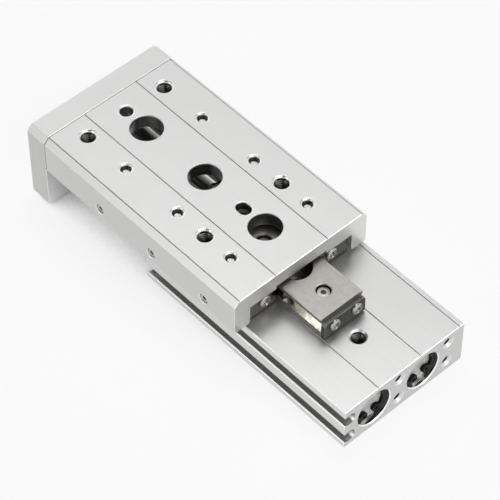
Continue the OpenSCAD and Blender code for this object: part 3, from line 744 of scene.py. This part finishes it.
class OBJECT_OT_slide_table_soft_parts(bpy.types.Operator):
    """Gives the seals, the bumpers, the magnets and the roller spacers their finishes"""

    bl_idname = "object.slide_table_soft_parts"
    bl_label = "Rubber and Resin Finishes"

    def execute(self, context):
        looks = (
            ("seal_rubber", (0.02, 0.02, 0.02), 0.5,
             ("head_cap_o_rings", "rod_guide_o_rings", "rod_seals", "piston_seals")),
            ("bumper_urethane", (0.62, 0.45, 0.12), 0.4, ("head_bumpers", "rod_bumpers")),
            ("magnet_sintered", (0.10, 0.09, 0.08), 0.6, ("piston_magnets",)),
            ("spacer_resin", (0.80, 0.72, 0.52), 0.45,
             ("left_roller_spacers", "right_roller_spacers")),
        )
        for name, colour, roughness, nodes in looks:
            made = Finish(name, colour, 0.0, roughness)
            made.grain(0.00001, 0.0002, 0.15, 0.003, 0.12)
            dress(made.finish(), *nodes)
        return {"FINISHED"}


# ---- modelling ----


POINT = 0.15                 # length of a shank's pointed end, in thread diameters
BEVEL_FROM = math.radians(60)
SMOOTH_TO = math.radians(32)


def mode(name):
    bpy.ops.object.mode_set(mode=name)


def freeze():
    bpy.ops.object.transform_apply(location=True, rotation=True, scale=True)


def activate(*objects):
    bpy.ops.object.select_all(action="DESELECT")
    for item in objects:
        item.select_set(True)
    bpy.context.view_layer.objects.active = objects[0]


def select_faces(test):
    """In edit mode, selects the active piece's faces that pass the test."""
    mesh = bpy.context.object.data
    bpy.ops.mesh.select_all(action="DESELECT")
    bpy.ops.mesh.select_mode(type="FACE")
    shape = bmesh.from_edit_mesh(mesh)
    for face in shape.faces:
        face.select_set(test(face))
    bmesh.update_edit_mesh(mesh)


def is_top(face):
    return face.normal.z > 0.99


def is_bottom(face):
    return face.normal.z < -0.99


def apply_modifier(piece, kind, **values):
    activate(piece)
    made = piece.modifiers.new(kind.title(), kind)
    for key, value in values.items():
        setattr(made, key, value)
    bpy.ops.object.modifier_apply(modifier=made.name)


def bevel(piece, width, segments):
    apply_modifier(piece, "BEVEL", width=width, segments=segments, limit_method="ANGLE",
                   angle_limit=BEVEL_FROM)


def cut_out(piece, cutter):
    apply_modifier(piece, "BOOLEAN", operation="DIFFERENCE", object=cutter, solver="EXACT")
    activate(cutter)
    bpy.ops.object.delete()


def cylinder(name, radius, depth, sides=48, base=0.0):
    bpy.ops.mesh.primitive_cylinder_add(
        vertices=sides, radius=radius, depth=depth, location=(0, 0, base + depth / 2))
    piece = bpy.context.object
    piece.name = name
    freeze()
    return piece


def step_in(inset, rise):
    """In edit mode, insets the selected face and moves it along Z."""
    bpy.ops.mesh.inset(thickness=inset)
    bpy.ops.transform.translate(value=(0, 0, rise))


def extrude_down(depth):
    bpy.ops.mesh.extrude_region_move(TRANSFORM_OT_translate={"value": (0, 0, -depth)})


def add_shank(radius, head_radius, length, point):
    """In edit mode, draws a shank with a pointed end out of the face under a head."""
    select_faces(is_bottom)
    bpy.ops.mesh.inset(thickness=head_radius - radius)
    extrude_down(length - point)
    extrude_down(point)
    bpy.ops.transform.resize(value=(1 - point / radius, 1 - point / radius, 1))


def tapered_bar(length, width, depth, top):
    """Bar along X that narrows downwards from a top level, for a cross recess."""
    bpy.ops.mesh.primitive_cube_add(size=1, location=(0, 0, top - depth / 2))
    bar = bpy.context.object
    bar.scale = (length, width, depth)
    freeze()
    mode("EDIT")
    select_faces(is_bottom)
    bpy.ops.transform.resize(value=(0.45, 0.6, 1))
    mode("OBJECT")
    return bar


def pan_head(name, thread, head, height, length):
    """Pan head screw with a cross recess, its seat at the origin and its head upwards."""
    dome = height * bpy.context.scene.slide_table_sizes.screw_dome
    radius = head / 2
    flat_top = 0.45              # of the radius, where the dome ends
    steps = 6
    piece = cylinder(name, radius, height - dome)
    mode("EDIT")
    select_faces(is_top)
    for i in range(steps):
        here, there = (math.sin(math.pi / 2 * (i + k) / steps) for k in (0, 1))
        in_here, in_there = (1 - math.cos(math.pi / 2 * (i + k) / steps) for k in (0, 1))
        step_in((in_there - in_here) * radius * (1 - flat_top), (there - here) * dome)
    add_shank(thread / 2, radius, length, thread * POINT)
    mode("OBJECT")
    bevel(piece, 0.00006, 2)
    for turn in (0, math.pi / 2):
        bar = tapered_bar(head * 0.62, head * 0.17, height * 0.72, height * 1.02)
        activate(bar)
        bar.rotation_euler.z = turn
        bpy.ops.object.transform_apply(rotation=True)
        cut_out(piece, bar)
    return piece


def socket_head(name, thread, head, height, length, hexagon):
    """Socket head cap screw, its seat at the origin and its head upwards."""
    piece = cylinder(name, head / 2, height, sides=64)
    mode("EDIT")
    add_shank(thread / 2, head / 2, length, thread * POINT)
    mode("OBJECT")
    bevel(piece, min(head * 0.045, 0.0002), 3)
    cut_out(piece, hexagon_cutter(hexagon, height * 0.7, height))
    return piece


def set_screw(name, thread, length, hexagon):
    """Headless screw from the origin down, with its socket upwards."""
    piece = cylinder(name, thread / 2, length, base=-length)
    bevel(piece, thread * 0.1, 1)
    cut_out(piece, hexagon_cutter(hexagon, thread * 0.6, 0))
    return piece


def hexagon_cutter(hexagon, depth, top):
    """Hexagonal plug that rises past the top level, with a drilled point below it."""
    radius = hexagon / math.sqrt(3)
    plug = cylinder("socket_cutter", radius, depth + hexagon, sides=6, base=top - depth)
    mode("EDIT")
    select_faces(is_bottom)
    bpy.ops.mesh.inset(thickness=radius * 0.1)
    extrude_down(hexagon * 0.2)
    bpy.ops.transform.resize(value=(0.1, 0.1, 1))
    mode("OBJECT")
    return plug


def thread_ridge(name, wall, pitch, turns, start):
    """Ridge of an inner thread: a flat-topped profile wound down from a start depth."""
    m5_wall = 0.0021
    sunk = 0.00003               # how far the ridge's root lies inside the wall
    height = bpy.context.scene.slide_table_sizes.thread_height * min(1, wall / m5_wall + 0.25)
    bpy.ops.mesh.primitive_plane_add(size=1, location=(0, 0, 0), rotation=(math.pi / 2, 0, 0))
    ridge = bpy.context.object
    ridge.name = name
    freeze()
    root = wall + sunk
    for corner in ridge.data.vertices:
        inner = corner.co.x < 0
        half = pitch * (0.07 if inner else 0.44)
        corner.co.x = root - height - sunk if inner else root
        corner.co.z = half if corner.co.z > 0 else -half
    activate(ridge)
    mode("EDIT")
    bpy.ops.mesh.select_all(action="SELECT")
    bpy.ops.mesh.delete(type="ONLY_FACE")
    mode("OBJECT")
    apply_modifier(ridge, "SCREW", axis="Z", angle=2 * math.pi, screw_offset=-pitch,
                   iterations=turns, steps=32, render_steps=32, use_smooth_shade=True,
                   use_merge_vertices=False)
    mode("EDIT")
    bpy.ops.mesh.select_all(action="SELECT")
    bpy.ops.mesh.remove_doubles(threshold=1e-7)
    bpy.ops.mesh.fill_holes(sides=4)
    bpy.ops.mesh.select_all(action="SELECT")
    bpy.ops.mesh.normals_make_consistent(inside=False)
    bpy.ops.transform.translate(value=(0, 0, -start - pitch / 2))
    mode("OBJECT")
    return ridge


def place_copies(pattern, name, places):
    """Copies a pattern to (point, direction) places and joins the copies as one piece."""
    copies = []
    for point, direction in places:
        activate(pattern)
        bpy.ops.object.duplicate(linked=False)
        item = bpy.context.object
        item.rotation_euler = Vector(direction).to_track_quat("Z", "Y").to_euler()
        item.location = point
        freeze()
        copies.append(item)
    activate(pattern)
    bpy.ops.object.delete()
    activate(*copies)
    if len(copies) > 1:
        bpy.ops.object.join()
    piece = bpy.context.object
    piece.name = name
    bpy.ops.object.shade_smooth_by_angle(angle=SMOOTH_TO)
    return piece


def add_piece(piece, body, slot, material, *nodes):
    piece.data.materials.clear()
    piece.data.materials.append(material)
    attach(piece, body)
    if nodes:
        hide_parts(*nodes)


def screw_steel(name, colour, roughness):
    found = bpy.data.materials.get(name)
    if found:
        return found
    steel = Finish(name, colour, 0.95, roughness)
    steel.grain(0.000002, 0.00025, 0.08, 0.0015, 0.16)
    return steel.finish(edge=0.6, edge_width=0.00012)


UP = Vector((0, 0, 1))
DOWN = -UP
REAR = Vector((1, 0, 0))
FRONT = -REAR
LEFT = Vector((0, -1, 0))
RIGHT = -LEFT


def ends_facing(boxes, size):
    """Seats of screws that lie along X: heads face away from the middle."""
    places = []
    centre = sum(((low + high) / 2 for low, high in boxes), Vector()) / len(boxes)
    for low, high in boxes:
        at = (low + high) / 2
        outward = REAR if at.x > centre.x else FRONT
        at.x = high.x - size if outward is REAR else low.x + size
        places.append((at, outward))
    return places


def on_face(points, outward, level):
    """Places of holes on a flat face: each point moved to the face's level."""
    axis = [abs(value) > 0.5 for value in outward].index(True)
    places = []
    for point in points:
        at = Vector(point)
        at[axis] = level
        places.append((at, outward))
    return places


class OBJECT_OT_slide_table_pan_screws(bpy.types.Operator):
    """Models the domed cross-recess screws of the stop plates and the rail ends"""

    bl_idname = "object.slide_table_pan_screws"
    bl_label = "Cross-Recess Screws"

    def execute(self, context):
        # the plating here is darkened as painted shade
        plated = screw_steel("screw_nickel", finishes().plated_shaded_colour, 0.24)
        for node, body, thread, head, height in (
            ("roller_stop_screws", "body", 2, 3.8, 1.1),
            ("rail_end_screws", "table", 2.5, 4.2, 1.1),
        ):
            boxes = solids(node)
            low, high = boxes[0]
            length = high.x - low.x - height * MM
            screw = pan_head("pan_screw", thread * MM, head * MM, height * MM, length)
            piece = place_copies(screw, node + "_domed", ends_facing(boxes, height * MM))
            add_piece(piece, body, "plated_screws", plated, node)
        return {"FINISHED"}


class OBJECT_OT_slide_table_socket_screws(bpy.types.Operator):
    """Models the socket head screws, the rail screws and the headless preload screws"""

    bl_idname = "object.slide_table_socket_screws"
    bl_label = "Socket Screws"

    def execute(self, context):
        steel = screw_steel("screw_steel", (0.5, 0.49, 0.47), 0.3)
        # painted light: the rail screws, whose tips lie in shade at the bottom of small holes
        # in the table, get a lighter steel than the other screws
        bright = screw_steel("screw_bright", (0.9, 0.9, 0.89), 0.25)
        satin = screw_steel("screw_satin", (0.72, 0.71, 0.69), 0.25)
        for node, body, thread, head, height, hexagon, way in (
            ("guide_block_screws", "body", 2, 3.8, 2, 1.5, UP),
            ("end_plate_bolts", "table", 2.5, 4.4, 2.5, 2, FRONT),
            ("rod_end_screws", "table", 4, 7, 3, 3, FRONT),
            ("rail_screws", "table", 3, 5.5, 3, 2.5, DOWN),
        ):
            boxes = solids(node)
            whole = abs((boxes[0][1] - boxes[0][0]).dot(way))
            screw = socket_head("socket_screw", thread * MM, head * MM, height * MM,
                                whole - height * MM, hexagon * MM)
            seat = way * (whole / 2 - height * MM)
            places = [((low + high) / 2 + seat, way) for low, high in boxes]
            piece = place_copies(screw, node + "_modelled", places)
            add_piece(piece, body, "socket_screws", bright if way is DOWN else steel, node)
        low, high = solids("preload_screws")[0]
        screw = set_screw("headless_screw", 3 * MM, high.y - low.y, 1.5 * MM)
        places = on_face(centres("preload_screws"), LEFT, low.y)
        piece = place_copies(screw, "preload_screws_modelled", places)
        add_piece(piece, "table", "socket_screws", satin, "preload_screws")
        return {"FINISHED"}


class OBJECT_OT_slide_table_threads(bpy.types.Operator):
    """Winds the thread ridges in the open threaded holes"""

    bl_idname = "object.slide_table_threads"
    bl_label = "Inner Threads"

    def execute(self, context):
        # painted shade: the thread ridges are coloured near black, as shade falls in the holes
        thread = Finish("thread_cut_shaded", (0.14, 0.14, 0.137), 0.95, 0.25)
        thread.grain(0.000002, 0.00015, 0.1, 0.001, 0.1)
        cut = thread.finish(edge=0.5, edge_width=0.00008)
        table_top = highest("slide_table").z
        front = lowest("end_plate").x
        outer = highest("body_housing")
        pitch = MOUNTS["body_mounting_holes"]["dims"]["spacing_x_mm"] * MM / 2
        centre_line = [(i * pitch, 0, 0) for i in (-1, 0, 1)]
        ports = [MOUNTS[name]["pos_m"] for name in ("front_air_port", "rear_air_port")]
        # radius of the hole's wall, pitch and first turn's depth, all in millimetres
        m5, m3, m3_end = (2.1, 0.8, 0.6), (1.55, 0.4, 0.3), (1.25, 0.5, 0.85)
        for name, body, size, depth, places in (
            ("table_threads_m5", "table", m5, 5.6,
             on_face(pattern_points("table_mounting_holes"), UP, table_top)),
            ("table_threads_m3", "table", m3, 1.5,
             on_face(centres("rail_screws"), UP, table_top)),
            ("end_plate_threads_m5", "table", m5, 7.4,
             on_face(pattern_points("end_plate_holes"), FRONT, front)),
            ("body_end_threads_m3", "body", m3_end, 6,
             on_face(pattern_points("rear_end_holes"), REAR, outer.x)),
            ("body_threads_m5", "body", m5, 6.5,
             on_face(centre_line, UP, outer.z) + on_face(centre_line, DOWN, 0)),
            ("air_port_threads_m5", "body", m5, 6, on_face(ports, RIGHT, outer.y)),
        ):
            wall, step, start = (value * MM for value in size)
            turns = int((depth * MM - start) / step - 0.5)
            ridge = thread_ridge("ridge", wall, step, turns, start)
            add_piece(place_copies(ridge, name, places), body, body + "_aluminium", cut)
        return {"FINISHED"}


# ---- stage ----


LAMPS_AIM = Vector((-0.02, 0, 0.02))
WHITE = (1, 1, 1, 1)


def area_lamp(name, at, size, power):
    """Square lamp that faces the object."""
    data = bpy.data.lights.new(name, "AREA")
    data.size = size
    data.energy = power
    lamp = bpy.data.objects.new(name, data)
    bpy.context.scene.collection.objects.link(lamp)
    lamp.location = at
    way = LAMPS_AIM - Vector(at)
    lamp.rotation_euler = way.to_track_quat("-Z", "Y").to_euler()


def backdrop_seen(tree):
    """Light path switch: 1 where the camera, a reflection or a clear piece sees it."""
    path = add_node(tree, "ShaderNodeLightPath")
    seen = math_node(tree, "MAXIMUM", path.outputs["Is Camera Ray"],
                     path.outputs["Is Glossy Ray"])
    return math_node(tree, "MAXIMUM", seen, path.outputs["Is Transmission Ray"])


class OBJECT_OT_slide_table_stage(bpy.types.Operator):
    """Makes the floor, the lamps, the surroundings and the camera"""

    bl_idname = "object.slide_table_stage"
    bl_label = "Stage"

    def execute(self, context):
        scene = context.scene
        stage = scene.slide_table_stage
        bpy.ops.mesh.primitive_plane_add(size=3, location=(0, 0, -0.00002))
        floor = context.object
        floor.name = "floor"
        freeze()
        look = bpy.data.materials.new("floor_paper")
        look.use_nodes = True
        tree = look.node_tree
        tree.nodes.clear()
        paper = add_node(tree, "ShaderNodeBsdfDiffuse", Color=(*stage.floor_colour, 1))
        # the floor that is seen: near white in the open, and with painted shade close to the
        # object, where ambient occlusion dims its glow
        shaded = add_node(tree, "ShaderNodeBsdfDiffuse", Color=(0.2, 0.2, 0.2, 1))
        open_air_shade = add_node(tree, "ShaderNodeAmbientOcclusion", samples=8, Distance=0.06)
        glow = map_range(tree, open_air_shade.outputs["AO"], 0.05, 0.4, 0.03, stage.floor_glow)
        white = add_node(tree, "ShaderNodeEmission", Color=WHITE, Strength=glow)
        both = add_node(tree, "ShaderNodeAddShader", shaded.outputs[0], white.outputs[0])
        mixed = add_node(tree, "ShaderNodeMixShader", backdrop_seen(tree),
                         paper.outputs[0], both.outputs[0])
        add_node(tree, "ShaderNodeOutputMaterial", mixed.outputs[0])
        floor.data.materials.append(look)

        world = bpy.data.worlds.new("surroundings")
        scene.world = world
        world.use_nodes = True
        tree = world.node_tree
        # white round the horizon and below, for the camera and reflections, and dark above
        way = add_node(tree, "ShaderNodeTexCoord").outputs["Generated"]
        up = add_node(tree, "ShaderNodeSeparateXYZ", way).outputs[2]
        white = math_node(tree, "MULTIPLY", map_range(tree, up, 0.45, 0.62, 0.97, 0.0),
                          backdrop_seen(tree))
        back = tree.nodes["Background"].inputs
        feed(tree, back["Color"], WHITE)
        feed(tree, back["Strength"], math_node(tree, "ADD", white, stage.sky_strength))

        for name, at, size, power in (
            ("softbox_above_front", (-0.45, 0.42, 0.75), 0.7, stage.key_power),
            ("softbox_overhead", (-0.15, 0.15, 0.9), 0.5, stage.top_power),
            ("softbox_front", (-0.85, 0, 0.68), 0.9, stage.front_power),
            ("softbox_rear", (0.8, 0, 0.72), 0.9, stage.rear_power),
            ("softbox_left", (-0.25, -0.75, 0.4), 0.4, stage.left_power),
            ("softbox_camera_side", (0.57, -0.52, 0.64), 0.35, stage.camera_power),
            ("softbox_rim", (0.77, 0.43, 0.47), 0.4, stage.rim_power),
        ):
            area_lamp(name, at, size, power)

        data = bpy.data.cameras.new("camera")
        data.lens = stage.lens
        data.sensor_width = 36
        data.clip_end = 10
        camera = bpy.data.objects.new("camera", data)
        scene.collection.objects.link(camera)
        right = Vector((0.6745, 0.7383, -0.0009)).normalized()
        back_way = Vector((0.4724, -0.4307, 0.7690)).normalized()
        up = back_way.cross(right).normalized()
        stand = Matrix.Translation((0.30540, -0.29555, 0.54152))
        camera.matrix_world = stand @ Matrix((right, up, back_way)).transposed().to_4x4()
        scene.camera = camera
        scene.view_settings.view_transform = "Standard"
        return {"FINISHED"}


class VIEW3D_PT_slide_table(bpy.types.Panel):
    bl_label = "Slide Table"
    bl_idname = "VIEW3D_PT_slide_table"
    bl_space_type = "VIEW_3D"
    bl_region_type = "UI"
    bl_category = "Slide Table"

    def draw(self, context):
        layout = self.layout
        for place, group in GROUPS:
            column = layout.column(align=True)
            for name in group.__annotations__:
                column.prop(getattr(context.scene, place), name)
        for operator in OPERATORS:
            layout.operator(operator.bl_idname)


GROUPS = (
    ("slide_table_sizes", SlideTableSizes),
    ("slide_table_finishes", SlideTableFinishes),
    ("slide_table_stage", SlideTableStage),
)
OPERATORS = (
    OBJECT_OT_slide_table_aluminium,
    OBJECT_OT_slide_table_steel,
    OBJECT_OT_slide_table_soft_parts,
    OBJECT_OT_slide_table_pan_screws,
    OBJECT_OT_slide_table_socket_screws,
    OBJECT_OT_slide_table_threads,
    OBJECT_OT_slide_table_stage,
)


def register():
    for name, group in GROUPS:
        bpy.utils.register_class(group)
        setattr(bpy.types.Scene, name, bpy.props.PointerProperty(type=group))
    for operator in OPERATORS:
        bpy.utils.register_class(operator)
    bpy.utils.register_class(VIEW3D_PT_slide_table)


def unregister():
    bpy.utils.unregister_class(VIEW3D_PT_slide_table)
    for operator in reversed(OPERATORS):
        bpy.utils.unregister_class(operator)
    for name, group in reversed(GROUPS):
        delattr(bpy.types.Scene, name)
        bpy.utils.unregister_class(group)


def main():
    register()
    for operator in OPERATORS:
        module, name = operator.bl_idname.split(".")
        result = getattr(getattr(bpy.ops, module), name)()
        if result != {"FINISHED"}:
            raise RuntimeError(operator.bl_label + " didn't finish")


if __name__ == "__main__":
    main()
